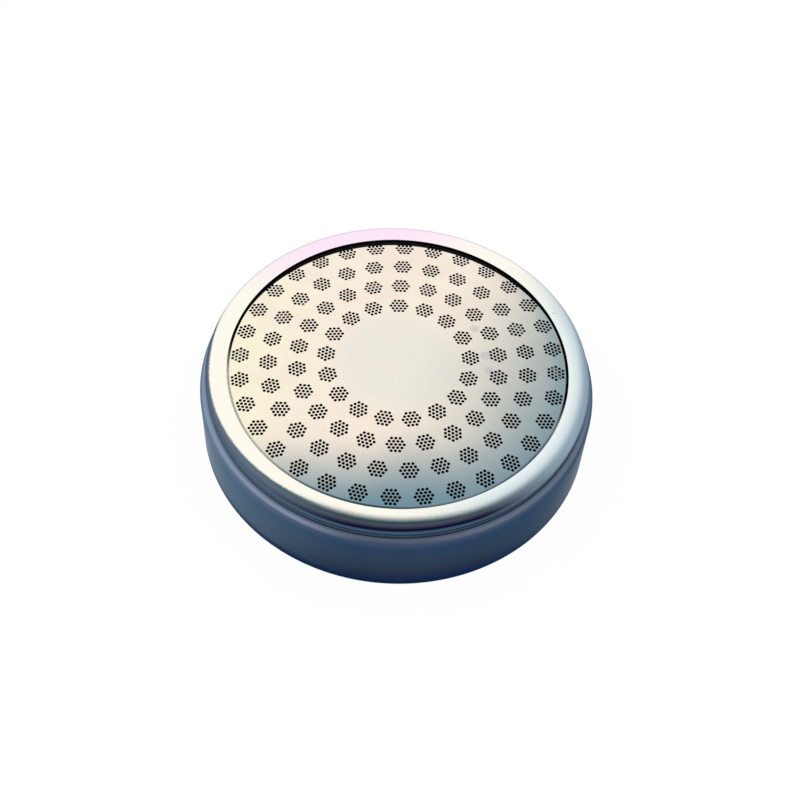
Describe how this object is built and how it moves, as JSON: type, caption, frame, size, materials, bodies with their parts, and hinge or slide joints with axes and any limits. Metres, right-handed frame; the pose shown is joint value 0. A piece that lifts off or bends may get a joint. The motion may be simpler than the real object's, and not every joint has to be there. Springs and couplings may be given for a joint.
{
  "type": "espresso shower screen",
  "caption": "Shallow drawn steel cup with an etched, domed membrane of clustered fine holes, clamped over a punched support plate, for an espresso brewing group.",
  "frame": {"origin": "centre of the open mouth, in the plane that the hem stands on", "axes": "+Z along the screen's axis, out of the perforated face; the first cluster of every ring lies 56 degrees clockwise from +X, seen from above"},
  "size_m": [0.06, 0.06, 0.0154],
  "materials": {
    "case_steel": "fine satin stainless steel",
    "membrane_steel": "smooth pale etched stainless steel",
    "plate_steel": "plain punched stainless steel"
  },
  "bodies": {
    "root": {"case": "case_steel", "membrane": "membrane_steel", "support_plate": "plate_steel"}
  },
  "joints": []
}
